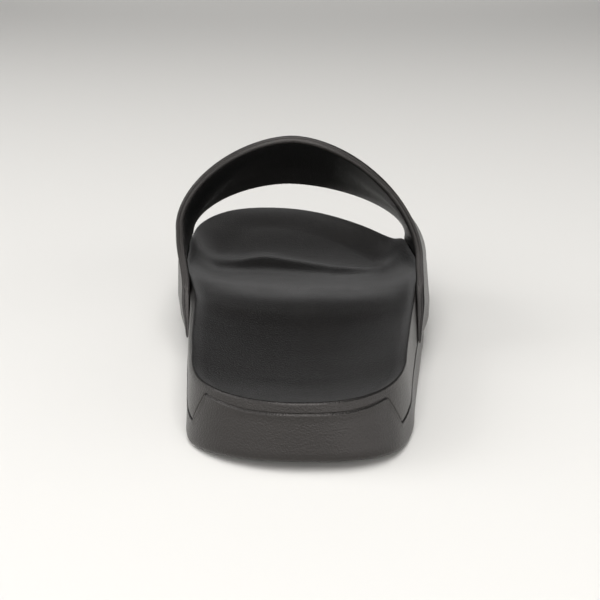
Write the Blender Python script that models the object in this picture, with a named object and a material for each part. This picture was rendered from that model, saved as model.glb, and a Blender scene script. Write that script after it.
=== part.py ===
"""Foam slide sandal for the right foot: a contoured sole and one wide band over the instep.

The shoe stands on z = 0 with its heel at -Y and its toe at +Y. The big toe is at -X. Sizes are in
millimetres until a mesh is made.
"""

import bmesh
import bpy
import numpy as np
from mathutils import Matrix

MILLIMETRE = 0.001

# The sole: overall length and how the outline is rounded at its two ends
SOLE_LENGTH = 262.0
HEEL_Y = -SOLE_LENGTH / 2
TOE_Y = SOLE_LENGTH / 2
HEEL_ROUND = 44.0
TOE_ROUND = 74.0
FLOOR_HEEL_POWER = 2.5
FLOOR_TOE_POWER = 2.2
RIM_HEEL_POWER = 2.2
RIM_TOE_POWER = 2.2
RIM_HEEL_SETBACK = 2.7
RIM_TOE_SETBACK = 1.2
RIM_FIRST_Y = HEEL_Y + RIM_HEEL_SETBACK
RIM_LAST_Y = TOE_Y - RIM_TOE_SETBACK

# One row for each cross-section of the sole, from heel to toe. It lies flat where under_z is below 0.
SOLE_COLUMNS = (
    "y", "floor_mid", "floor_half", "rim_mid", "rim_half", "rim_medial_z", "rim_lateral_z",
    "under_z", "seat_z", "cup_width", "lip_height", "medial_lean",
)
SOLE_SECTIONS = (
    (-131, 3.5, 37.6, 1.0, 35.9, 22.0, 22.0, 3.8, 17.6, 34, 0.8, 0.0),
    (-108, 0.0, 38.1, -0.4, 36.2, 22.8, 22.6, 0.2, 16.7, 34, 1.1, 0.3),
    (-92, 0.4, 38.7, -0.4, 36.6, 23.4, 23.2, -0.4, 16.2, 34, 1.1, 0.8),
    (-60, 1.0, 41.6, 0.1, 39.5, 25.2, 24.2, 0.2, 16.8, 36, 1.1, 1.4),
    (-40, 1.8, 43.5, 0.8, 41.3, 26.1, 24.6, 1.4, 18.7, 38, 1.1, 1.7),
    (-26, 2.2, 44.9, 1.3, 42.6, 26.4, 24.8, 1.8, 21.0, 38, 1.1, 1.7),
    (-14, 2.5, 46.2, 1.5, 43.8, 26.3, 24.8, 1.7, 22.3, 36, 1.1, 1.5),
    (0, 2.7, 47.6, 1.7, 45.3, 26.0, 24.8, 1.2, 22.0, 26, 1.1, 0.8),
    (30, 2.0, 50.2, 1.3, 48.9, 25.2, 24.6, -0.2, 18.3, 16, 1.1, 0.0),
    (56, 0.4, 50.2, 0.0, 48.4, 25.6, 25.4, -0.4, 15.3, 14, 1.1, 0.0),
    (68, -1.0, 50.0, -1.2, 48.3, 26.4, 26.2, 0.0, 15.5, 14, 1.1, 0.0),
    (80, -3.0, 49.6, -3.0, 48.0, 24.4, 23.4, 0.9, 16.8, 17, 1.0, 0.0),
    (104, -8.8, 48.6, -8.8, 47.4, 24.8, 24.0, 3.8, 21.5, 24, 0.5, 0.0),
    (131, -15.5, 48.0, -15.5, 46.8, 26.8, 26.4, 9.0, 26.3, 34, 0.0, 0.0),
)

# The wall between the floor line and the rim, and the rim's crest with the lip that rolls in from it
BOTTOM_EDGE_ROUND = 1.8
RIM_LEAN_SHARE = 0.9
RIM_LEAN_POWER = 1.5
RIM_SHOULDER_SHARE = 0.97
RIM_CREST_ROUND = 0.5
RIM_CREST_LIFT = 0.4
RIM_LIP_WIDTH = 4.0

# The step line moulded into the wall: distance round from the back of the heel, and wall share
STEP_COLUMNS = ("medial_along", "lateral_along", "share")
STEP_LINE = (
    (0, 0, 0.80),
    (21, 18, 0.80),
    (39, 35.5, 0.86),
    (46, 42.5, 0.33),
    (57, 54, 0.37),
    (90, 90, 0.40),
    (300, 300, 0.40),
)
STEP_HALF_WIDTH = 0.6
STEP_DEPTH = 0.7

# The footbed inside the rim
CUP_POWER = 2.0
ARCH_Y = 8.0
ARCH_LENGTH = 32.0
ARCH_RISE = 2.4
LATERAL_DROP_Y = -16.0
LATERAL_DROP_LENGTH = 36.0
LATERAL_DROP = 0.8
BAR_COLUMNS = ("x", "y")
TOE_BAR = (
    (-50, 67), (-38, 67), (-27, 64.5), (-15, 67), (-4, 62),
    (7, 55.5), (18, 49), (29, 50.5), (38, 57), (50, 62),
)
BAR_HEIGHT = 2.9
BAR_BACK_WIDTH = 7.5
BAR_FRONT_WIDTH = 7.0
BAR_FULL_SHARE = 0.3
BAR_FADE_SHARE = 0.6
BAR_END_HEIGHT = 0.4

# The strap: wall, its seat on the outside of the sole, and how gently it leaves that above the rim
STRAP_WALL = 3.2
STRAP_TIP_WALL = 1.2
TIP_HEIGHT_SHARE = 0.12
TIP_BAND_SHARE = 0.3
SEAT_GAP = 0.45
SEAT_LOW_Z = 11.0
SEAT_LEAVE_HEIGHT = 18.0

# One row for each cross-section of the strap's inner face
STRAP_COLUMNS = (
    "y", "crest_x", "crest_z", "medial_x", "lateral_x", "medial_spring_z", "lateral_spring_z",
    "medial_power", "lateral_power",
)
STRAP_SECTIONS = (
    (-46, -2.8, 96.6, -39.5, 43.0, 54, 40, 1.72, 1.70),
    (-22, -2.8, 88.8, -41.8, 44.4, 52, 38, 1.72, 1.70),
    (-4, -2.8, 81.6, -45.2, 45.8, 49, 36, 1.70, 1.69),
    (14, -3.2, 74.0, -45.8, 48.4, 34, 30, 1.78, 1.70),
    (40, -4.2, 62.3, -47.6, 50.4, 29, 28, 1.86, 1.78),
    (64, -4.8, 51.7, -47.4, 47.5, 29, 28.5, 1.88, 1.80),
    (82, -5.0, 44.9, -47.2, 45.6, 28, 28, 1.90, 1.86),
)

# One row for each place along a side of the strap, from its foot on the sole up to the crest
EDGE_COLUMNS = ("share", "medial_back_y", "lateral_back_y", "medial_front_y", "lateral_front_y")
STRAP_EDGES = (
    (0.00, -28, -35, 70, 66),
    (0.07, -19, -23, 71, 67),
    (0.15, -11, -11, 71, 67),
    (0.24, -8, -7, 70, 67.5),
    (0.55, -6, -6, 65, 65),
    (0.80, -5, -5, 63, 63),
    (1.00, -4, -4, 62, 62),
)

# How finely the surfaces are divided: the heel's outline has a point every HEEL_STEP up to HEEL_REACH
HEEL_STEP = 3.0
HEEL_REACH = 60.0
SIDE_STEPS = 58
STRAP_STEPS = 56
STRAP_BANDS = 9
EDGE_STEPS = 4

# Where the sole's loops lie: shares of the way to the middle, a share of the step line's height, depths
UNDER_SHARES = (1.0, 0.66, 0.33, 0.0)
LOW_WALL_SHARE = 0.55
CUP_DEPTHS = (0.0, 1.2, 2.6, 4.2, 8.0)
CUP_RING_REACH = 13.0
BED_SHARES = (0.0, 0.25, 0.5, 0.75, 1.0)

# Points used to measure along a curve, the small step that gives a slope, and points that count as one
OUTLINE_SAMPLES = 4001
WING_SAMPLES = 40
ARCH_SAMPLES = 160
SLOPE_STEP = 0.001
MERGE_DISTANCE = 0.02

FOAM_BLACK = (0.012, 0.012, 0.012, 1.0)
FOAM_ROUGHNESS = 0.55


def column(columns, rows, name):
    """One named column of a table as an array."""
    return np.array([row[columns.index(name)] for row in rows], float)


def smooth_through(places, values, at):
    """A smooth curve through the values, with slopes taken from the neighbours on both sides."""
    at = np.clip(np.asarray(at, float), places[0], places[-1])
    slopes = np.gradient(values, places)
    i = np.clip(np.searchsorted(places, at, side="right") - 1, 0, len(places) - 2)
    width = places[i + 1] - places[i]
    s = (at - places[i]) / width
    start = values[i] * (1 + 2 * s) * (1 - s) ** 2 + slopes[i] * width * s * (1 - s) ** 2
    end = values[i + 1] * s**2 * (3 - 2 * s) - slopes[i + 1] * width * s**2 * (1 - s)
    return start + end


def sole_value(name, y):
    rows = SOLE_SECTIONS
    return smooth_through(column(SOLE_COLUMNS, rows, "y"), column(SOLE_COLUMNS, rows, name), y)


def strap_value(name, y):
    rows = STRAP_SECTIONS
    return smooth_through(column(STRAP_COLUMNS, rows, "y"), column(STRAP_COLUMNS, rows, name), y)


def ease(s):
    """0 to 1 with level ends."""
    s = np.clip(s, 0, 1)
    return s * s * (3 - 2 * s)


def end_rounding(y, first, last, heel_power, toe_power):
    """How much of the half width is left near the ends of an outline from first to last."""
    heel = np.clip((first + HEEL_ROUND - y) / HEEL_ROUND, 0, 1)
    toe = np.clip((y - last + TOE_ROUND) / TOE_ROUND, 0, 1)
    heel_share = (1 - heel**heel_power) ** (1 / heel_power)
    return heel_share * (1 - toe**toe_power) ** (1 / toe_power)


def floor_half(y):
    return sole_value("floor_half", y) * end_rounding(y, HEEL_Y, TOE_Y, FLOOR_HEEL_POWER, FLOOR_TOE_POWER)


def rim_half(y):
    left = end_rounding(y, RIM_FIRST_Y, RIM_LAST_Y, RIM_HEEL_POWER, RIM_TOE_POWER)
    return sole_value("rim_half", y) * left


def outline_stations():
    """Points along half the floor line: distance from the back of the heel, and share of the length."""
    fine = (1 - np.cos(np.linspace(0, np.pi, OUTLINE_SAMPLES))) / 2
    y = HEEL_Y + SOLE_LENGTH * fine
    along = np.concatenate([[0], np.cumsum(np.hypot(np.diff(y), np.diff(floor_half(y))))])
    heel = np.arange(0, HEEL_REACH, HEEL_STEP)
    wanted = np.concatenate([heel, np.linspace(HEEL_REACH, along[-1], SIDE_STEPS + 1)])
    return wanted, np.interp(wanted, along, fine)


def go_round(lateral, medial):
    """One closed row of values: heel, lateral side, toe, medial side."""
    return np.concatenate([lateral, medial[-2:0:-1]])


def outline_loop(half, mid_name, first, last):
    """An outline of the sole seen from above, as x and y."""
    y = first + (last - first) * outline_stations()[1]
    mid = sole_value(mid_name, y)
    x = go_round(mid + half(y), mid - half(y))
    return np.column_stack([x, go_round(y, y)])


def inward(loop):
    """Unit directions from an outline towards its inside."""
    run = np.roll(loop, -1, axis=0) - np.roll(loop, 1, axis=0)
    run /= np.linalg.norm(run, axis=1)[:, None]
    return np.column_stack([-run[:, 1], run[:, 0]])


def under_height(y):
    """Height of the underside: flat on the floor at heel and forefoot, raised at waist, heel and toe."""
    return np.maximum(sole_value("under_z", y), 0)


def rim_height(loop):
    """Height of the rim's crest: each side has its own, and they meet at heel and toe."""
    y = loop[:, 1]
    side = np.clip((loop[:, 0] - sole_value("rim_mid", y)) / sole_value("rim_half", y), -1, 1)
    share = ease((side + 1) / 2)
    return sole_value("rim_medial_z", y) * (1 - share) + sole_value("rim_lateral_z", y) * share


def rim_lean(loop):
    """How far the rim's crest is set in from the top of the wall, which it is on the medial side alone."""
    y = loop[:, 1]
    side = (sole_value("rim_mid", y) - loop[:, 0]) / sole_value("rim_half", y)
    return sole_value("medial_lean", y) * ease(side)


def toe_bar(x, y):
    """The wavy bar across the footbed behind the toes, which fades towards both rims."""
    crest = smooth_through(column(BAR_COLUMNS, TOE_BAR, "x"), column(BAR_COLUMNS, TOE_BAR, "y"), x)
    away = y - crest
    width = np.where(away < 0, BAR_BACK_WIDTH, BAR_FRONT_WIDTH)
    side = np.abs(x - sole_value("rim_mid", y)) / sole_value("rim_half", y)
    fade = 1 - (1 - BAR_END_HEIGHT) * ease((side - BAR_FULL_SHARE) / BAR_FADE_SHARE)
    return BAR_HEIGHT * fade * np.exp(-((away / width) ** 2))


def seat_height(x, y):
    """Height of the footbed inside its dish: heel seat, waist, arch, ball hollow and toe bar."""
    side = (sole_value("rim_mid", y) - x) / sole_value("rim_half", y)
    arch = ARCH_RISE * ease(side) * np.exp(-(((y - ARCH_Y) / ARCH_LENGTH) ** 2))
    drop = LATERAL_DROP * ease(-side) * np.exp(-(((y - LATERAL_DROP_Y) / LATERAL_DROP_LENGTH) ** 2))
    return sole_value("seat_z", y) + arch - drop + toe_bar(x, y)


def step_share():
    """How far up the wall the step line runs at each point round the sole."""
    along = outline_stations()[0]
    share = column(STEP_COLUMNS, STEP_LINE, "share")
    lateral = np.interp(along, column(STEP_COLUMNS, STEP_LINE, "lateral_along"), share)
    medial = np.interp(along, column(STEP_COLUMNS, STEP_LINE, "medial_along"), share)
    return go_round(lateral, medial)


def spine(floor):
    """The line along the middle of the sole that the loops draw in to."""
    y = np.clip(floor[:, 1], HEEL_Y + HEEL_ROUND, TOE_Y - TOE_ROUND / 2)
    return np.column_stack([sole_value("rim_mid", y), y])


def underside_loops(floor):
    """Loops from the middle of the underside out to its edge."""
    edge = floor + inward(floor) * BOTTOM_EDGE_ROUND
    flats = [edge + (spine(floor) - edge) * share for share in UNDER_SHARES]
    return [np.column_stack([flat, under_height(flat[:, 1])]) for flat in flats]


def wall_loops(floor, rim):
    """Loops up the drafted side wall, with the groove of the step line and the rim that leans in."""
    foot_z = under_height(floor[:, 1]) + BOTTOM_EDGE_ROUND
    height = rim_height(rim) - foot_z
    lean = rim_lean(rim)

    def wall(share, sink=0.0):
        bend = np.clip((share - RIM_LEAN_SHARE) / (1 - RIM_LEAN_SHARE), 0, 1) ** RIM_LEAN_POWER
        flat = floor + (rim - floor) * np.reshape(share, (-1, 1))
        flat = flat + inward(floor) * np.reshape(sink + lean * bend, (-1, 1))
        return np.column_stack([flat, foot_z + height * share])

    step = step_share()
    half_step = STEP_HALF_WIDTH / height
    return [
        wall(0.0),
        wall(step * LOW_WALL_SHARE),
        wall(step - half_step),
        wall(step, STEP_DEPTH),
        wall(step + half_step),
        wall(RIM_LEAN_SHARE),
        wall((RIM_LEAN_SHARE + RIM_SHOULDER_SHARE) / 2),
        wall(RIM_SHOULDER_SHARE),
    ]


def footbed_loops(floor, rim):
    """Loops from the rim's crest over its lip, down the dish and in to the middle of the footbed."""
    rim_z = rim_height(rim)
    inside = inward(rim)

    def bed(flat, depth):
        seat = seat_height(flat[:, 0], flat[:, 1])
        lip = sole_value("lip_height", flat[:, 1])
        top = rim_z + RIM_CREST_LIFT - lip
        dish = np.clip(1 - depth / sole_value("cup_width", flat[:, 1]), 0, 1) ** CUP_POWER
        roll = np.clip(1 - depth / RIM_LIP_WIDTH, 0, 1) ** 2
        return np.column_stack([flat, seat + (top - seat) * dish + lip * roll])

    crest = rim + inside * (RIM_CREST_ROUND + rim_lean(rim))[:, None]
    cup = [bed(crest + inside * depth, depth) for depth in CUP_DEPTHS]
    inner = crest + inside * CUP_RING_REACH
    across = spine(floor) - inner
    reach = np.linalg.norm(across, axis=1)
    middle = [bed(inner + across * share, CUP_RING_REACH + reach * share) for share in BED_SHARES]
    return cup + middle


def sole_loops():
    """Closed loops of points from the middle of the underside, round the wall, to the footbed."""
    floor = outline_loop(floor_half, "floor_mid", HEEL_Y, TOE_Y)
    rim = outline_loop(rim_half, "rim_mid", RIM_FIRST_Y, RIM_LAST_Y)
    return underside_loops(floor) + wall_loops(floor, rim) + footbed_loops(floor, rim)


def wall_x(y, z, side):
    """Where the sole's wall stands at a height, on the medial side (-1) or the lateral side (1)."""
    foot_z = under_height(y) + BOTTOM_EDGE_ROUND
    top_z = sole_value("rim_medial_z" if side < 0 else "rim_lateral_z", y)
    share = np.clip((z - foot_z) / (top_z - foot_z), 0, 1)
    low = sole_value("floor_mid", y) + side * floor_half(y)
    high = sole_value("rim_mid", y) + side * rim_half(y)
    return low + (high - low) * share


def strap_side(y, side):
    """One side of the strap's inner face at a station, from its foot on the sole to the crest."""
    name = "medial" if side < 0 else "lateral"
    spring_x = strap_value(name + "_x", y)
    spring_z = strap_value(name + "_spring_z", y)
    power = strap_value(name + "_power", y)
    crest_x = strap_value("crest_x", y)
    crest_z = strap_value("crest_z", y)
    wing_z = np.linspace(SEAT_LOW_Z, spring_z, WING_SAMPLES, endpoint=False)
    on_wall = wall_x(y, wing_z, side) + side * SEAT_GAP
    leave_z = sole_value(f"rim_{name}_z", y) + SEAT_GAP
    leave_height = min(SEAT_LEAVE_HEIGHT, spring_z - leave_z)
    wing_x = on_wall + (spring_x - on_wall) * ease((wing_z - leave_z) / leave_height)
    turn = np.linspace(0, np.pi / 2, ARCH_SAMPLES)
    arch_x = crest_x + (spring_x - crest_x) * np.cos(turn) ** (2 / power)
    arch_z = spring_z + (crest_z - spring_z) * np.sin(turn) ** (2 / power)
    return np.column_stack([np.concatenate([wing_x, arch_x]), np.concatenate([wing_z, arch_z])])


def strap_point(share, side, y):
    """A point of the strap's inner face, by its share of the way from the foot to the crest."""
    line = strap_side(y, side)
    along = np.concatenate([[0], np.cumsum(np.linalg.norm(np.diff(line, axis=0), axis=1))])
    at = share * along[-1]
    return np.array([np.interp(at, along, line[:, 0]), y, np.interp(at, along, line[:, 1])])


def strap_edge(name, share):
    shares = column(EDGE_COLUMNS, STRAP_EDGES, "share")
    return float(smooth_through(shares, column(EDGE_COLUMNS, STRAP_EDGES, name), share))


def strap_face(turn, band):
    """Inner face of the strap. Turn is -1 at the medial foot, 1 at the lateral. Band is 0 at the back."""
    side = -1 if turn < 0 else 1
    share = 1 - abs(turn)
    name = "medial" if side < 0 else "lateral"
    back = strap_edge(name + "_back_y", share)
    front = strap_edge(name + "_front_y", share)
    return strap_point(share, side, back + (front - back) * band)


def strap_frame(turn, band):
    """A point of the inner face, with its outward normal and its direction towards the toe."""
    here = strap_face(turn, band)
    medial, lateral = max(turn - SLOPE_STEP, -1), min(turn + SLOPE_STEP, 1)
    rear, front = max(band - SLOPE_STEP, 0), min(band + SLOPE_STEP, 1)
    across = strap_face(lateral, band) - strap_face(medial, band)
    ahead = strap_face(turn, front) - strap_face(turn, rear)
    normal = np.cross(across, ahead)
    return here, normal / np.linalg.norm(normal), ahead / np.linalg.norm(ahead)


def strap_wall(turn, band):
    """Thickness of the strap, which thins towards the back tip of each wing."""
    low = 1 - ease((1 - abs(turn)) / TIP_HEIGHT_SHARE)
    rear = 1 - ease(band / TIP_BAND_SHARE)
    return STRAP_WALL + (STRAP_TIP_WALL - STRAP_WALL) * low * rear


def strap_loop(turn):
    """A closed section of the band from back to front: inner face, round edge, outer face, round edge."""
    bands = np.linspace(0, 1, STRAP_BANDS)
    frames = [(*strap_frame(turn, band), strap_wall(turn, band)) for band in bands]
    bend = np.linspace(-np.pi / 2, np.pi / 2, EDGE_STEPS + 1)[1:-1]
    inner = [here for here, _, _, _ in frames]
    outer = [here + normal * wall for here, normal, _, wall in reversed(frames)]
    here, normal, ahead, wall = frames[-1]
    front = [here + (normal * (1 + np.sin(b)) + ahead * np.cos(b)) * wall / 2 for b in bend]
    here, normal, ahead, wall = frames[0]
    back = [here + (normal * (1 - np.sin(b)) - ahead * np.cos(b)) * wall / 2 for b in bend]
    return np.array(inner + front + outer + back)


def foam_material(name):
    material = bpy.data.materials.new(name)
    material.use_nodes = True
    shader = material.node_tree.nodes["Principled BSDF"]
    shader.inputs["Base Color"].default_value = FOAM_BLACK
    shader.inputs["Roughness"].default_value = FOAM_ROUGHNESS
    shader.inputs["Metallic"].default_value = 0.0
    return material


def ring(bm, points):
    """A closed loop of edges through the points."""
    verts = [bm.verts.new(point * MILLIMETRE) for point in points]
    pairs = zip(verts, verts[1:] + verts[:1])
    return [bm.edges.new(pair) for pair in pairs]


def add_object(name, bm):
    bmesh.ops.remove_doubles(bm, verts=bm.verts, dist=MERGE_DISTANCE * MILLIMETRE)
    bmesh.ops.recalc_face_normals(bm, faces=bm.faces)
    mesh = bpy.data.meshes.new(name)
    bm.to_mesh(mesh)
    bm.free()
    mesh.shade_smooth()
    mesh.materials.append(foam_material(name + "_foam"))
    item = bpy.data.objects.new(name, mesh)
    bpy.context.scene.collection.objects.link(item)
    return item


def skin(bm, loops):
    """Joins each loop to the next."""
    rings = [ring(bm, loop) for loop in loops]
    for first, second in zip(rings, rings[1:]):
        bmesh.ops.bridge_loops(bm, edges=first + second)
    return rings


def make_sole():
    bm = bmesh.new()
    skin(bm, sole_loops())
    return add_object("sole", bm)


def make_strap():
    bm = bmesh.new()
    rings = skin(bm, [strap_loop(turn) for turn in np.linspace(-1, 1, STRAP_STEPS + 1)])
    for end in (rings[0], rings[-1]):
        bmesh.ops.contextual_create(bm, geom=end)
    return add_object("strap", bm)


def centre_across(items):
    """Moves the shoe sideways so that the middle of its width is at x = 0."""
    across = [vertex.co.x for item in items for vertex in item.data.vertices]
    shift = Matrix.Translation((-(min(across) + max(across)) / 2, 0, 0))
    for item in items:
        item.data.transform(shift)


def main():
    for item in list(bpy.data.objects):
        bpy.data.objects.remove(item)
    centre_across([make_sole(), make_strap()])


main()
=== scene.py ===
"""Looks of a foam slide sandal for the right foot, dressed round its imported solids.

The heel is at -Y, the toe at +Y and the big toe at -X. Shapes are worked out in millimetres.
"""
import math

import bmesh
import bpy
import numpy as np
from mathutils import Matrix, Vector


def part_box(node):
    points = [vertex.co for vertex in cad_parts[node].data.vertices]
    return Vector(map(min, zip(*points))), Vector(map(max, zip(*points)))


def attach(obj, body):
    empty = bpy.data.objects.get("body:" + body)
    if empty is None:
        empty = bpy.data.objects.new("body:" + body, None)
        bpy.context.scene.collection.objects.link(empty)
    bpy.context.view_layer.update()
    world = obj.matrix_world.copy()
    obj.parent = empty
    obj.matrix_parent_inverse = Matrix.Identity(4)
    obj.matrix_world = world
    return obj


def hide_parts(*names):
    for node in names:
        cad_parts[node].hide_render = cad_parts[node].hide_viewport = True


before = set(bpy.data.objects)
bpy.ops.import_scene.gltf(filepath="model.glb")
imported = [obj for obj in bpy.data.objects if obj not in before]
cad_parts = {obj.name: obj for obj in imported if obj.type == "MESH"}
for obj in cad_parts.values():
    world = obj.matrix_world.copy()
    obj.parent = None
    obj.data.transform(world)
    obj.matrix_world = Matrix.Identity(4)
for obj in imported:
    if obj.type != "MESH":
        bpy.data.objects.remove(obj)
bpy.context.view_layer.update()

MILLIMETRE = 0.001


def table(columns, *rows):
    """A table of sizes as one array for each named column."""
    return {name: np.array(values, float) for name, values in zip(columns, zip(*rows))}


# The sole: overall length and how the outline is rounded at its two ends
SOLE_LENGTH = 262.0
HEEL_Y = -SOLE_LENGTH / 2
TOE_Y = SOLE_LENGTH / 2
HEEL_ROUND = 44.0
TOE_ROUND = 74.0
FLOOR_HEEL_POWER = 2.5
FLOOR_TOE_POWER = 2.2
RIM_HEEL_POWER = 2.2
RIM_TOE_POWER = 2.2
RIM_HEEL_SETBACK = 2.7
RIM_TOE_SETBACK = 1.2
RIM_FIRST_Y = HEEL_Y + RIM_HEEL_SETBACK
RIM_LAST_Y = TOE_Y - RIM_TOE_SETBACK

# One row for each cross-section of the sole, from heel to toe. It lies flat where under_z is below 0.
SOLE = table(
    (
        "y", "floor_mid", "floor_half", "rim_mid", "rim_half", "rim_medial_z", "rim_lateral_z", "under_z",
        "seat_z", "cup_width", "lip_height", "crest_round", "medial_lean",
    ),
    (-131, 3.5, 37.6, 1.0, 35.9, 22.5, 22.5, 3.8, 17.6, 34, 0.8, 0.6, 0.0),
    (-108, 0.0, 38.1, -0.4, 36.2, 22.8, 22.6, 0.2, 16.7, 34, 1.1, 0.3, 0.3),
    (-92, 0.4, 38.7, -0.4, 36.6, 23.4, 23.2, -0.4, 16.2, 34, 1.1, 0.3, 0.8),
    (-60, 1.0, 41.6, 0.1, 39.5, 25.2, 24.2, 0.2, 16.8, 36, 1.1, 0.3, 1.4),
    (-40, 1.8, 43.5, 0.8, 41.3, 26.1, 24.6, 1.4, 18.7, 38, 1.1, 0.3, 1.7),
    (-26, 2.2, 44.9, 1.3, 42.6, 26.4, 24.8, 1.8, 21.0, 38, 1.1, 0.3, 1.7),
    (-14, 2.5, 46.2, 1.5, 43.8, 26.3, 24.8, 1.7, 22.3, 36, 1.1, 0.3, 1.0),
    (0, 2.7, 47.6, 1.7, 45.3, 26.0, 24.8, 1.2, 22.0, 26, 1.1, 0.3, 0.2),
    (30, 2.0, 50.2, 1.3, 48.9, 25.2, 24.6, -0.2, 18.3, 16, 1.1, 0.3, 0.0),
    (56, 0.4, 50.2, 0.0, 48.4, 25.6, 25.4, -0.4, 15.3, 14, 1.1, 0.3, 0.0),
    (68, -1.0, 50.0, -1.2, 48.3, 26.4, 26.2, 0.0, 15.5, 14, 1.1, 0.3, 0.0),
    (80, -3.0, 49.6, -3.0, 48.0, 24.4, 23.4, 0.9, 16.8, 17, 1.0, 0.3, 0.0),
    (104, -8.8, 48.6, -8.8, 47.4, 24.8, 24.0, 3.8, 21.5, 24, 0.5, 0.4, 0.0),
    (131, -15.5, 48.0, -15.5, 46.8, 26.8, 26.4, 9.0, 26.3, 34, 0.0, 0.5, 0.0),
)

# The wall between the floor line and the rim, which leans in at its top on the medial side,
# then the bevel of the rim's crest and the lip that rolls in from it
BOTTOM_EDGE_ROUND = 1.8
RIM_LEAN_SHARE = 0.9
RIM_LEAN_POWER = 1.5
RIM_CREST_POWER = 1.35
RIM_CREST_LIFT = 0.4
RIM_LIP_WIDTH = 4.0
RIM_LIP_POWER = 2.0

# The step line moulded into the wall: distance round from the back of the heel, and wall share
STEP_LINE = table(
    ("medial_along", "lateral_along", "share"),
    (0, 0, 0.80),
    (21, 18, 0.80),
    (39, 35.5, 0.86),
    (46, 42.5, 0.33),
    (57, 54, 0.37),
    (90, 90, 0.40),
    (300, 300, 0.40),
)

# The step's own section: height above its line, and how deep it lies below the wall's face
STEP_GROOVE = table(
    ("rise", "sink"),
    (-1.50, 0.00),
    (-0.75, -0.16),
    (-0.40, -0.16),
    (-0.16, 0.06),
    (0.00, 0.55),
    (0.20, 0.14),
    (0.50, 0.00),
)

# The footbed inside the rim
CUP_POWER = 2.0
CUP_RING_REACH = 13.0
ARCH_Y = 8.0
ARCH_LENGTH = 32.0
ARCH_RISE = 2.4
LATERAL_DROP_Y = -16.0
LATERAL_DROP_LENGTH = 36.0
LATERAL_DROP = 0.8
TOE_BAR = table(
    ("x", "y"),
    (-50, 67), (-38, 67), (-27, 64.5), (-15, 67), (-4, 62),
    (7, 55.5), (18, 49), (29, 50.5), (38, 57), (50, 62),
)
BAR_HEIGHT = 2.9
BAR_BACK_WIDTH = 7.5
BAR_FRONT_WIDTH = 7.0
BAR_FULL_SHARE = 0.3
BAR_FADE_SHARE = 0.6
BAR_END_HEIGHT = 0.4

# The strap: wall, its seat on the outside of the sole, and the mould's parting line on its edges.
# The seat gap shown here is smaller than the one between the solids.
STRAP_WALL = 3.2
STRAP_TIP_WALL = 1.2
TIP_HEIGHT_SHARE = 0.12
TIP_BAND_SHARE = 0.3
FOOT_ROUND_SHARE = 0.02
SEAT_GAP = 0.15
SEAT_LOW_Z = 11.0
SEAT_LEAVE_HEIGHT = 18.0
EDGE_POWER = 2.6
FLUSH_EDGE_POWER = 9.0
FLUSH_SHARE = 0.2
PARTING_PLACE = 0.56
PARTING_WIDTH = 0.08
PARTING_DEPTH = 0.4

# One row for each cross-section of the strap's inner face
STRAP = table(
    (
        "y", "crest_x", "crest_z", "medial_x", "lateral_x", "medial_spring_z", "lateral_spring_z",
        "medial_power", "lateral_power",
    ),
    (-46, -2.8, 96.6, -39.5, 43.0, 54, 40, 1.72, 1.70),
    (-22, -2.8, 88.8, -41.8, 44.4, 52, 38, 1.72, 1.70),
    (-4, -2.8, 81.6, -45.2, 45.8, 49, 36, 1.70, 1.69),
    (14, -3.2, 74.0, -45.8, 48.4, 34, 30, 1.78, 1.70),
    (40, -4.2, 62.3, -47.6, 50.4, 29, 28, 1.86, 1.78),
    (64, -4.8, 51.7, -47.4, 47.5, 29, 28.5, 1.88, 1.80),
    (82, -5.0, 44.9, -47.2, 45.6, 28, 28, 1.90, 1.86),
)

# One row for each place along a side of the strap, from its foot on the sole up to the crest
STRAP_EDGES = table(
    ("share", "medial_back_y", "lateral_back_y", "medial_front_y", "lateral_front_y"),
    (0.00, -28, -35, 70, 66),
    (0.07, -19, -23, 71, 67),
    (0.15, -11, -11, 71, 67),
    (0.24, -8, -7, 70, 67.5),
    (0.55, -6, -6, 65, 65),
    (0.80, -5, -5, 63, 63),
    (1.00, -4, -4, 62, 62),
)

# How finely the surfaces are divided: a point every HEEL_STEP round the heel up to HEEL_REACH
HEEL_STEP = 1.0
HEEL_REACH = 60.0
SIDE_STEPS = 200
UNDER_RINGS = 10
EDGE_RINGS = 6
WALL_RINGS = 8
LEAN_RINGS = 6
CREST_RINGS = 9
CUP_RINGS = 14
BED_RINGS = 32
STRAP_STEPS = 170
FOOT_RINGS = 6
STRAP_BANDS = 32
STRAP_EDGE_STEPS = 26

# Points used to measure along a curve, the small step that gives a slope, and points that count as one
OUTLINE_SAMPLES = 4001
WING_SAMPLES = 40
ARCH_SAMPLES = 160
SLOPE_STEP = 0.01
MERGE_DISTANCE = 0.005

# The foam's grain, in millimetres. The real grain is finer: it is drawn as coarse as it needs to show.
CLOUD_SIZE = 16.0
PEBBLE_SIZE = 0.65
SPECK_SIZE = 0.45
GRAIN_HEIGHT = 0.09
CLOUD_DETAIL = 3.0
SPECK_DETAIL = 2.0
PEBBLE_SMOOTHNESS = 0.6

# The foam's colours and gloss, and the painted shade: a darker foam colour on the strap's face towards the
# foot
FOAM_DARK = "#141414"
FOAM_LIGHT = "#181716"
# Painted shade: the darker colour given to the strap's face towards the foot
PAINTED_SHADE_FOAM = "#040607"
FOAM_TINT = "#fff7f3"
FOAM_IOR = 1.5
FOAM_ROUGHNESS = 0.33
ROUGHNESS_SPREAD = 0.05
PAINTED_SHADE_FACE = "painted_shade_face"

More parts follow.
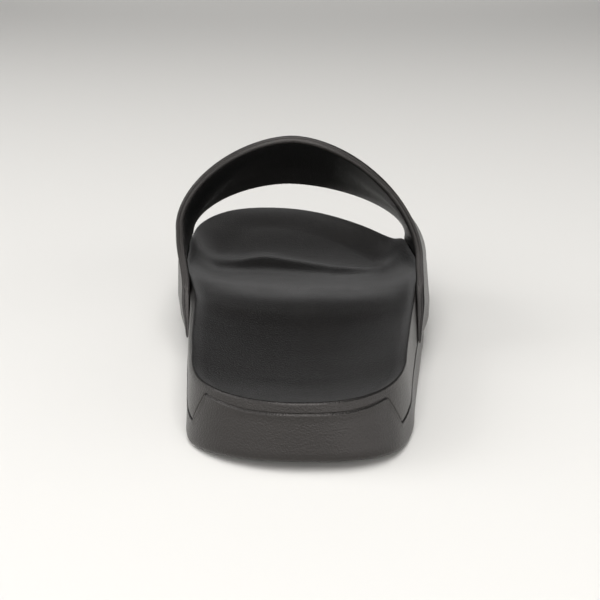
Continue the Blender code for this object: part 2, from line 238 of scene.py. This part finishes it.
# The studio: soft panels, each by its angle from straight ahead towards the lateral side, its angle
# above the floor, its width in metres and its brightness against plain white
LIGHTS = (
    ("ahead_low", 0, 8, 1.3, 0.5),
    ("overhead", 0, 90, 1.3, 1.9),
    ("behind_high", 180, 55, 1.3, 4.4),
    ("behind_middle", 180, 30, 1.3, 1.2),
    ("behind_low", 180, 8, 1.3, 1.2),
    ("lateral_low", 90, 8, 1.3, 1.6),
    ("medial_low", -90, 8, 1.3, 0.8),
    ("medial_middle", -90, 30, 1.3, 2.2),
    ("medial_high", -90, 55, 1.3, 0.9),
    ("behind_lateral", 137, 10, 2.0, 1.9),
    ("behind_medial", -137, 10, 2.0, 1.9),
)
PANEL_DISTANCE = 2.0
PANEL_HEIGHT = 1.3
ROOM_BRIGHTNESS = 0.07
FLOOR_COLOUR = "#e3e1dd"
FLOOR_ROUGHNESS = 0.9
FLOOR_REACH = 6.0

# The camera, behind the heel and a little above the shoe
CAMERA_PLACE = (-0.3, -518.86, 171.97)
CAMERA_DIP = 16.55
CAMERA_LENS = 81.0
CAMERA_SENSOR = 36.0


def smooth_through(places, values, at):
    """A smooth curve through the values, with slopes taken from the neighbours on both sides."""
    at = np.clip(np.asarray(at, float), places[0], places[-1])
    slopes = np.gradient(values, places)
    i = np.clip(np.searchsorted(places, at, side="right") - 1, 0, len(places) - 2)
    width = places[i + 1] - places[i]
    s = (at - places[i]) / width
    start = values[i] * (1 + 2 * s) * (1 - s) ** 2 + slopes[i] * width * s * (1 - s) ** 2
    end = values[i + 1] * s**2 * (3 - 2 * s) - slopes[i + 1] * width * s**2 * (1 - s)
    return start + end


def sole_value(name, y):
    return smooth_through(SOLE["y"], SOLE[name], y)


def strap_value(name, y):
    return smooth_through(STRAP["y"], STRAP[name], y)


def ease(s):
    """0 to 1 with level ends."""
    s = np.clip(s, 0, 1)
    return s * s * (3 - 2 * s)


def end_rounding(y, first, last, heel_power, toe_power):
    """How much of the half width is left near the ends of an outline from first to last."""
    heel = np.clip((first + HEEL_ROUND - y) / HEEL_ROUND, 0, 1)
    toe = np.clip((y - last + TOE_ROUND) / TOE_ROUND, 0, 1)
    heel_share = (1 - heel**heel_power) ** (1 / heel_power)
    return heel_share * (1 - toe**toe_power) ** (1 / toe_power)


def floor_half(y):
    return sole_value("floor_half", y) * end_rounding(y, HEEL_Y, TOE_Y, FLOOR_HEEL_POWER, FLOOR_TOE_POWER)


def rim_half(y):
    left = end_rounding(y, RIM_FIRST_Y, RIM_LAST_Y, RIM_HEEL_POWER, RIM_TOE_POWER)
    return sole_value("rim_half", y) * left


def outline_stations():
    """Points along half the floor line: distance from the back of the heel, and share of the length."""
    fine = (1 - np.cos(np.linspace(0, np.pi, OUTLINE_SAMPLES))) / 2
    y = HEEL_Y + SOLE_LENGTH * fine
    along = np.concatenate([[0], np.cumsum(np.hypot(np.diff(y), np.diff(floor_half(y))))])
    heel = np.arange(0, HEEL_REACH, HEEL_STEP)
    wanted = np.concatenate([heel, np.linspace(HEEL_REACH, along[-1], SIDE_STEPS + 1)])
    return wanted, np.interp(wanted, along, fine)


def go_round(lateral, medial):
    """One closed row of values: heel, lateral side, toe, medial side."""
    return np.concatenate([lateral, medial[-2:0:-1]])


def outline_loop(half, mid_name, first, last):
    """An outline of the sole seen from above, as x and y."""
    y = first + (last - first) * outline_stations()[1]
    mid = sole_value(mid_name, y)
    x = go_round(mid + half(y), mid - half(y))
    return np.column_stack([x, go_round(y, y)])


def inward(loop):
    """Unit directions from an outline towards its inside."""
    run = np.roll(loop, -1, axis=0) - np.roll(loop, 1, axis=0)
    run /= np.linalg.norm(run, axis=1)[:, None]
    return np.column_stack([-run[:, 1], run[:, 0]])


def under_height(y):
    """Height of the underside: flat on the floor at heel and forefoot, raised at waist, heel and toe."""
    return np.maximum(sole_value("under_z", y), 0)


def rim_height(loop):
    """Height of the rim's crest: each side has its own, and they meet at heel and toe."""
    y = loop[:, 1]
    side = np.clip((loop[:, 0] - sole_value("rim_mid", y)) / sole_value("rim_half", y), -1, 1)
    share = ease((side + 1) / 2)
    return sole_value("rim_medial_z", y) * (1 - share) + sole_value("rim_lateral_z", y) * share


def rim_lean(loop):
    """How far the rim's crest is set in from the top of the wall, which it is on the medial side alone."""
    y = loop[:, 1]
    side = (sole_value("rim_mid", y) - loop[:, 0]) / sole_value("rim_half", y)
    return sole_value("medial_lean", y) * ease(side)


def toe_bar(x, y):
    """The wavy bar across the footbed behind the toes, which fades towards both rims."""
    away = y - smooth_through(TOE_BAR["x"], TOE_BAR["y"], x)
    width = np.where(away < 0, BAR_BACK_WIDTH, BAR_FRONT_WIDTH)
    side = np.abs(x - sole_value("rim_mid", y)) / sole_value("rim_half", y)
    fade = 1 - (1 - BAR_END_HEIGHT) * ease((side - BAR_FULL_SHARE) / BAR_FADE_SHARE)
    return BAR_HEIGHT * fade * np.exp(-((away / width) ** 2))


def seat_height(x, y):
    """Height of the footbed inside its dish: heel seat, waist, arch, ball hollow and toe bar."""
    side = (sole_value("rim_mid", y) - x) / sole_value("rim_half", y)
    arch = ARCH_RISE * ease(side) * np.exp(-(((y - ARCH_Y) / ARCH_LENGTH) ** 2))
    drop = LATERAL_DROP * ease(-side) * np.exp(-(((y - LATERAL_DROP_Y) / LATERAL_DROP_LENGTH) ** 2))
    return sole_value("seat_z", y) + arch - drop + toe_bar(x, y)


def step_share():
    """How far up the wall the step line runs at each point round the sole."""
    along = outline_stations()[0]
    lateral = np.interp(along, STEP_LINE["lateral_along"], STEP_LINE["share"])
    medial = np.interp(along, STEP_LINE["medial_along"], STEP_LINE["share"])
    return go_round(lateral, medial)


def spine(floor):
    """The line along the middle of the sole that the loops draw in to."""
    y = np.clip(floor[:, 1], HEEL_Y + HEEL_ROUND, TOE_Y - TOE_ROUND / 2)
    return np.column_stack([sole_value("rim_mid", y), y])


def underside_loops(floor):
    """Loops from the middle of the underside out to its edge, and round that edge."""
    edge = floor + inward(floor) * BOTTOM_EDGE_ROUND
    flats = [edge + (spine(floor) - edge) * share for share in np.linspace(1, 0, UNDER_RINGS)]
    loops = [np.column_stack([flat, under_height(flat[:, 1])]) for flat in flats]
    for turn in np.linspace(0, np.pi / 2, EDGE_RINGS)[1:-1]:
        flat = floor + inward(floor) * BOTTOM_EDGE_ROUND * (1 - math.sin(turn))
        lift = BOTTOM_EDGE_ROUND * (1 - math.cos(turn))
        loops.append(np.column_stack([flat, under_height(flat[:, 1]) + lift]))
    return loops


def wall_loops(floor, rim):
    """Loops up the drafted side wall, with the step line's groove and lip and the rim that leans in."""
    foot_z = under_height(floor[:, 1]) + BOTTOM_EDGE_ROUND
    height = rim_height(rim) - foot_z
    lean = rim_lean(rim)

    def wall(share, sink=0.0):
        bend = np.clip((share - RIM_LEAN_SHARE) / (1 - RIM_LEAN_SHARE), 0, 1) ** RIM_LEAN_POWER
        flat = floor + (rim - floor) * np.reshape(share, (-1, 1))
        flat = flat + inward(floor) * np.reshape(sink + lean * bend, (-1, 1))
        return np.column_stack([flat, foot_z + height * share])

    step = step_share()
    run = np.linalg.norm(np.roll(floor, -1, axis=0) - np.roll(floor, 1, axis=0), axis=1)
    climb = (np.roll(step, -1) - np.roll(step, 1)) * height / run
    slant = np.hypot(1, climb)
    lines = [step + rise * slant / height for rise in STEP_GROOVE["rise"]]
    below = [wall(lines[0] * share) for share in np.linspace(0, 1, WALL_RINGS)[:-1]]
    groove = [wall(line, sink) for line, sink in zip(lines, STEP_GROOVE["sink"])]
    start = np.maximum(RIM_LEAN_SHARE, lines[-1])
    shoulder = 1 - sole_value("crest_round", rim[:, 1]) / height
    above = [wall(lines[-1] + (start - lines[-1]) * share) for share in np.linspace(0, 1, WALL_RINGS)[1:]]
    leaning = [wall(start + (shoulder - start) * share) for share in np.linspace(0, 1, LEAN_RINGS)[1:]]
    return below + groove + above + leaning


def footbed_point(flat, depth, rim_z):
    """The footbed over a loop seen from above, at a depth inside the rim: a rolled lip, then a dish."""
    seat = seat_height(flat[:, 0], flat[:, 1])
    dish = np.clip(1 - depth / sole_value("cup_width", flat[:, 1]), 0, 1) ** CUP_POWER
    lip = sole_value("lip_height", flat[:, 1])
    top = rim_z + RIM_CREST_LIFT - lip
    roll = np.clip(1 - depth / RIM_LIP_WIDTH, 0, 1) ** RIM_LIP_POWER
    return np.column_stack([flat, seat + (top - seat) * dish + lip * roll])


def bed_loops(inner, middle, rim_z):
    """Loops of the footbed from the end of the rim's own rings in to the middle line."""
    across = np.linalg.norm(middle - inner, axis=1)
    shares = np.linspace(0, 1, BED_RINGS)[1:]
    flats = [inner + (middle - inner) * share for share in shares]
    depths = [CUP_RING_REACH + across * share for share in shares]
    return [footbed_point(flat, depth, rim_z) for flat, depth in zip(flats, depths)]


def crest_loops(shoulder, corner, cup):
    """Loops over the crest of the rim: a soft bevel from the wall's shoulder to the slope of the cup."""
    shares = np.linspace(0, 1, CREST_RINGS)[1:-1]
    pulls = [((1 - s) ** RIM_CREST_POWER, s**RIM_CREST_POWER) for s in shares]
    return [corner + (shoulder - corner) * outer + (cup - corner) * inner for outer, inner in pulls]


def sole_loops():
    """Closed loops of points from the middle of the underside, round the wall, to the footbed."""
    floor = outline_loop(floor_half, "floor_mid", HEEL_Y, TOE_Y)
    rim = outline_loop(rim_half, "rim_mid", RIM_FIRST_Y, RIM_LAST_Y)
    rim_z = rim_height(rim)
    inside = inward(rim)
    wall = wall_loops(floor, rim)
    crest_round = sole_value("crest_round", rim[:, 1])
    crest = rim + inside * (crest_round + rim_lean(rim))[:, None]

    def cup_loop(depth):
        return footbed_point(crest + inside * np.reshape(depth, (-1, 1)), depth, rim_z)

    cup = [cup_loop(depth) for depth in np.linspace(crest_round, CUP_RING_REACH, CUP_RINGS)]
    # The bevel's corner stands over the wall, where the slope of the cup would reach it
    slope = (cup[0] - cup_loop(crest_round + SLOPE_STEP)) / SLOPE_STEP
    corner = cup[0] + slope * 2 * crest_round[:, None]
    roll = crest_loops(wall[-1], corner, cup[0])
    bed = bed_loops(crest + inside * CUP_RING_REACH, spine(floor), rim_z)
    return underside_loops(floor) + wall + roll + cup + bed


def wall_x(y, z, side):
    """Where the sole's wall stands at a height, on the medial side (-1) or the lateral side (1)."""
    foot_z = under_height(y) + BOTTOM_EDGE_ROUND
    top_z = sole_value("rim_medial_z" if side < 0 else "rim_lateral_z", y)
    share = np.clip((z - foot_z) / (top_z - foot_z), 0, 1)
    low = sole_value("floor_mid", y) + side * floor_half(y)
    high = sole_value("rim_mid", y) + side * rim_half(y)
    return low + (high - low) * share


def strap_side(y, side):
    """One side of the strap's inner face at a station, from its foot on the sole to the crest."""
    name = "medial" if side < 0 else "lateral"
    spring_x = strap_value(name + "_x", y)
    spring_z = strap_value(name + "_spring_z", y)
    power = strap_value(name + "_power", y)
    crest_x = strap_value("crest_x", y)
    crest_z = strap_value("crest_z", y)
    wing_z = np.linspace(SEAT_LOW_Z, spring_z, WING_SAMPLES, endpoint=False)
    on_wall = wall_x(y, wing_z, side) + side * SEAT_GAP
    leave_z = sole_value(f"rim_{name}_z", y) + SEAT_GAP
    leave_height = min(SEAT_LEAVE_HEIGHT, spring_z - leave_z)
    wing_x = on_wall + (spring_x - on_wall) * ease((wing_z - leave_z) / leave_height)
    turn = np.linspace(0, np.pi / 2, ARCH_SAMPLES)
    arch_x = crest_x + (spring_x - crest_x) * np.cos(turn) ** (2 / power)
    arch_z = spring_z + (crest_z - spring_z) * np.sin(turn) ** (2 / power)
    return np.column_stack([np.concatenate([wing_x, arch_x]), np.concatenate([wing_z, arch_z])])


def strap_point(share, side, y):
    """A point of the strap's inner face, by its share of the way from the foot to the crest."""
    line = strap_side(y, side)
    along = np.concatenate([[0], np.cumsum(np.linalg.norm(np.diff(line, axis=0), axis=1))])
    at = share * along[-1]
    return np.array([np.interp(at, along, line[:, 0]), y, np.interp(at, along, line[:, 1])])


def strap_edge(name, share):
    return float(smooth_through(STRAP_EDGES["share"], STRAP_EDGES[name], share))


def strap_face(turn, band):
    """Inner face of the strap. Turn is -1 at the medial foot, 1 at the lateral. Band is 0 at the back."""
    side = -1 if turn < 0 else 1
    share = 1 - abs(turn)
    name = "medial" if side < 0 else "lateral"
    back = strap_edge(name + "_back_y", share)
    front = strap_edge(name + "_front_y", share)
    return strap_point(share, side, back + (front - back) * band)


def strap_wall(turn, band):
    """Thickness of the strap, which thins towards the back tip of each wing."""
    low = 1 - ease((1 - abs(turn)) / TIP_HEIGHT_SHARE)
    rear = 1 - ease(band / TIP_BAND_SHARE)
    return STRAP_WALL + (STRAP_TIP_WALL - STRAP_WALL) * low * rear


def foot_fullness(turn):
    """Share of the wall that is left at the foot of a wing, whose lower edge is round."""
    left = np.clip(1 - (1 - abs(turn)) / FOOT_ROUND_SHARE, 0, 1)
    return math.sqrt(1 - left**2)


def strap_turns():
    """Places round the strap from the medial to the lateral foot, closer together at the round feet."""
    bend = np.linspace(0, np.pi / 2, FOOT_RINGS)
    foot = 1 - FOOT_ROUND_SHARE * (1 - np.cos(bend))
    middle = np.linspace(-foot[-1], foot[-1], STRAP_STEPS)[1:-1]
    return np.concatenate([-foot, middle, foot[::-1]])


def edge_profile(turn):
    """The strap's edge from inner to outer face: height in the wall from -1 to 1, and reach past the band.

    Its inner corner is sharp at the foot, where it lies flush on the sole.
    """
    flush = 1 - ease((1 - abs(turn)) / FLUSH_SHARE)
    bend = np.linspace(-np.pi / 2, np.pi / 2, STRAP_EDGE_STEPS + 1)[1:-1]
    power = EDGE_POWER + np.where(bend < 0, (FLUSH_EDGE_POWER - EDGE_POWER) * flush, 0)
    height = np.sign(bend) * np.abs(np.sin(bend)) ** (2 / power)
    reach = np.cos(bend) ** (2 / power)
    place = (height + 1) / 2
    reach -= PARTING_DEPTH / (STRAP_WALL / 2) * np.exp(-(((place - PARTING_PLACE) / PARTING_WIDTH) ** 2))
    return list(zip(height, reach))


def strap_section(turn, face, normal, ahead):
    """A closed section of the band: inner face from back to front, round edge, outer face, round edge."""
    full = foot_fullness(turn)
    half = [strap_wall(turn, band) / 2 for band in np.linspace(0, 1, STRAP_BANDS)]

    def at(j, height, reach):
        return face[j] + (normal[j] * (1 + height * full) + ahead[j] * reach * full) * half[j]

    inner = [at(j, -1, 0) for j in range(STRAP_BANDS)]
    front = [at(-1, height, reach) for height, reach in edge_profile(turn)]
    outer = [at(j, 1, 0) for j in reversed(range(STRAP_BANDS))]
    back = [at(0, height, -reach) for height, reach in reversed(edge_profile(turn))]
    return np.array(inner + front + outer + back)


def strap_loops():
    """The band's sections from the medial foot to the lateral one, square to its inner face."""
    turns = strap_turns()
    bands = np.linspace(0, 1, STRAP_BANDS)
    face = np.array([[strap_face(turn, band) for band in bands] for turn in turns])
    ahead = np.gradient(face, axis=1)
    ahead /= np.linalg.norm(ahead, axis=2)[:, :, None]
    normal = np.cross(np.gradient(face, axis=0), ahead)
    normal /= np.linalg.norm(normal, axis=2)[:, :, None]
    return [strap_section(*row) for row in zip(turns, face, normal, ahead)]


def loft(loops, painted_shade_stations=0):
    """A skin through closed loops of points: a circle that is pulled from each loop to the next.

    The first points of each loop, as many as given, are marked as the strap's face towards the foot, which
    the foam paints darker as painted shade.
    """
    bm = bmesh.new()
    bmesh.ops.create_circle(bm, segments=len(loops[0]), radius=MILLIMETRE)
    station = bm.verts.layers.int.new("station")
    ring = bm.verts[:]
    for number, vert in enumerate(ring):
        vert[station] = number
    edges = bm.edges[:]
    for number, loop in enumerate(loops):
        if number:
            pulled = bmesh.ops.extrude_edge_only(bm, edges=edges)["geom"]
            ring = [item for item in pulled if isinstance(item, bmesh.types.BMVert)]
            edges = [item for item in pulled if isinstance(item, bmesh.types.BMEdge)]
        for vert in ring:
            vert.co = loop[vert[station]] * MILLIMETRE
    painted_shade_face = bm.verts.layers.float.new(PAINTED_SHADE_FACE)
    for vert in bm.verts:
        vert[painted_shade_face] = float(vert[station] < painted_shade_stations)
    bm.verts.layers.int.remove(station)
    bmesh.ops.remove_doubles(bm, verts=bm.verts, dist=MERGE_DISTANCE * MILLIMETRE)
    bmesh.ops.recalc_face_normals(bm, faces=bm.faces)
    return bm


def add_piece(name, bm, node, material):
    """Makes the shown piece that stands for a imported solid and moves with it."""
    mesh = bpy.data.meshes.new(name)
    bm.to_mesh(mesh)
    bm.free()
    mesh.shade_smooth()
    mesh.materials.append(material)
    piece = bpy.data.objects.new(name, mesh)
    bpy.context.scene.collection.objects.link(piece)
    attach(piece, "root")
    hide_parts(node)


def sideways_shift(bm):
    """How far the shape, drawn about the foot's own middle line, moves to sit where its solid is."""
    across = [vert.co.x for vert in bm.verts]
    low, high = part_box("sole")
    return (low.x + high.x) / 2 - (min(across) + max(across)) / 2


def linear(hex_colour):
    """A hex sRGB colour as linear red, green, blue and alpha."""
    parts = [int(hex_colour[i:i + 2], 16) / 255 for i in (1, 3, 5)]
    return [p / 12.92 if p <= 0.04045 else ((p + 0.055) / 1.055) ** 2.4 for p in parts] + [1.0]


def add_node(tree, kind, output, inputs, **settings):
    """Adds a node and gives back one of its outputs. An input is a value, or an output to link it to."""
    made = tree.nodes.new(kind)
    for name, value in settings.items():
        setattr(made, name, value)
    sockets = {socket.identifier: socket for socket in made.inputs}
    for name, value in inputs.items():
        if isinstance(value, bpy.types.NodeSocket):
            tree.links.new(value, sockets[name])
        else:
            sockets[name].default_value = value
    return next((socket for socket in made.outputs if socket.identifier == output), None)


def per_metre(size):
    """The scale of a pattern whose features are that many millimetres wide."""
    return 1 / (size * MILLIMETRE)


def moulded_foam(name):
    """Closed-cell foam moulded against a matt tool: near black, fine-grained, bright only at a slant."""
    material = bpy.data.materials.new(name)
    material.use_nodes = True
    tree = material.node_tree
    tree.nodes.clear()
    place = add_node(tree, "ShaderNodeTexCoord", "Object", {})
    cloud = add_node(
        tree, "ShaderNodeTexNoise", "Fac",
        {"Vector": place, "Scale": per_metre(CLOUD_SIZE), "Detail": CLOUD_DETAIL},
    )
    pebble = add_node(
        tree, "ShaderNodeTexVoronoi", "Distance",
        {"Vector": place, "Scale": per_metre(PEBBLE_SIZE), "Smoothness": PEBBLE_SMOOTHNESS},
        feature="SMOOTH_F1",
    )
    speck = add_node(
        tree, "ShaderNodeTexNoise", "Fac",
        {"Vector": place, "Scale": per_metre(SPECK_SIZE), "Detail": SPECK_DETAIL},
    )
    grain = add_node(
        tree, "ShaderNodeMath", "Value", {"Value": pebble, "Value_001": speck}, operation="ADD"
    )
    normal = add_node(
        tree, "ShaderNodeBump", "Normal",
        {"Distance": GRAIN_HEIGHT * MILLIMETRE, "Height": grain},
    )
    face = add_node(
        tree, "ShaderNodeMix", "Result_Color",
        {"Factor_Float": cloud, "A_Color": linear(FOAM_DARK), "B_Color": linear(FOAM_LIGHT)},
        data_type="RGBA",
    )
    # Painted shade: the strap's face towards the foot gets a darker foam colour, for the shade that falls
    # there
    painted_shade_share = add_node(tree, "ShaderNodeAttribute", "Fac", {}, attribute_name=PAINTED_SHADE_FACE)
    colour = add_node(
        tree, "ShaderNodeMix", "Result_Color",
        {"Factor_Float": painted_shade_share, "A_Color": face, "B_Color": linear(PAINTED_SHADE_FOAM)}, data_type="RGBA",
    )
    rough = add_node(
        tree, "ShaderNodeMapRange", "Result",
        {"Value": cloud, "To Min": FOAM_ROUGHNESS - ROUGHNESS_SPREAD,
         "To Max": FOAM_ROUGHNESS + ROUGHNESS_SPREAD},
    )
    shader = add_node(
        tree, "ShaderNodeBsdfPrincipled", "BSDF",
        {"Base Color": colour, "Roughness": rough, "Normal": normal, "IOR": FOAM_IOR,
         "Specular Tint": linear(FOAM_TINT)},
    )
    add_node(tree, "ShaderNodeOutputMaterial", None, {"Surface": shader})
    return material


def make_shoe():
    sole_foam = moulded_foam("moulded_foam_of_the_sole")
    strap_foam = moulded_foam("moulded_foam_of_the_strap")
    sole = loft(sole_loops())
    strap = loft(strap_loops(), STRAP_BANDS)
    shift = sideways_shift(sole)
    for bm in (sole, strap):
        bmesh.ops.translate(bm, verts=bm.verts, vec=(shift, 0, 0))
    add_piece("sole_moulding", sole, "sole", sole_foam)
    add_piece("strap_moulding", strap, "strap", strap_foam)


def make_floor():
    bm = bmesh.new()
    bmesh.ops.create_grid(bm, x_segments=1, y_segments=1, size=FLOOR_REACH)
    mesh = bpy.data.meshes.new("floor")
    bm.to_mesh(mesh)
    bm.free()
    floor = bpy.data.objects.new("floor", mesh)
    material = bpy.data.materials.new("pale_matt_paper")
    material.use_nodes = True
    shader = material.node_tree.nodes["Principled BSDF"]
    shader.inputs["Base Color"].default_value = linear(FLOOR_COLOUR)
    shader.inputs["Roughness"].default_value = FLOOR_ROUGHNESS
    mesh.materials.append(material)
    bpy.context.scene.collection.objects.link(floor)


def make_room():
    """An even, dim white all round, which the panels stand out from."""
    world = bpy.data.worlds.new("studio")
    world.use_nodes = True
    background = world.node_tree.nodes["Background"]
    background.inputs["Color"].default_value = (1, 1, 1, 1)
    background.inputs["Strength"].default_value = ROOM_BRIGHTNESS
    bpy.context.scene.world = world
    bpy.context.scene.view_settings.view_transform = "Standard"


def make_lights():
    """Soft panels round the shoe, each at the same distance from it, which the camera doesn't see."""
    for name, round_angle, height_angle, width, brightness in LIGHTS:
        data = bpy.data.lights.new(name, "AREA")
        data.shape = "RECTANGLE"
        data.size = width
        data.size_y = PANEL_HEIGHT
        data.energy = brightness * math.pi * width * PANEL_HEIGHT
        panel = bpy.data.objects.new(name, data)
        turn = math.radians(round_angle)
        lift = math.radians(height_angle)
        towards = Vector((math.sin(turn) * math.cos(lift), math.cos(turn) * math.cos(lift), math.sin(lift)))
        panel.location = towards * PANEL_DISTANCE
        panel.rotation_euler = (-towards).to_track_quat("-Z", "Y").to_euler()
        panel.visible_camera = False
        bpy.context.scene.collection.objects.link(panel)


def make_camera():
    data = bpy.data.cameras.new("camera")
    data.lens = CAMERA_LENS
    data.sensor_width = CAMERA_SENSOR
    camera = bpy.data.objects.new("camera", data)
    camera.location = [value * MILLIMETRE for value in CAMERA_PLACE]
    camera.rotation_euler = (math.radians(90 - CAMERA_DIP), 0, 0)
    bpy.context.scene.collection.objects.link(camera)
    bpy.context.scene.camera = camera


make_shoe()
make_floor()
make_room()
make_lights()
make_camera()
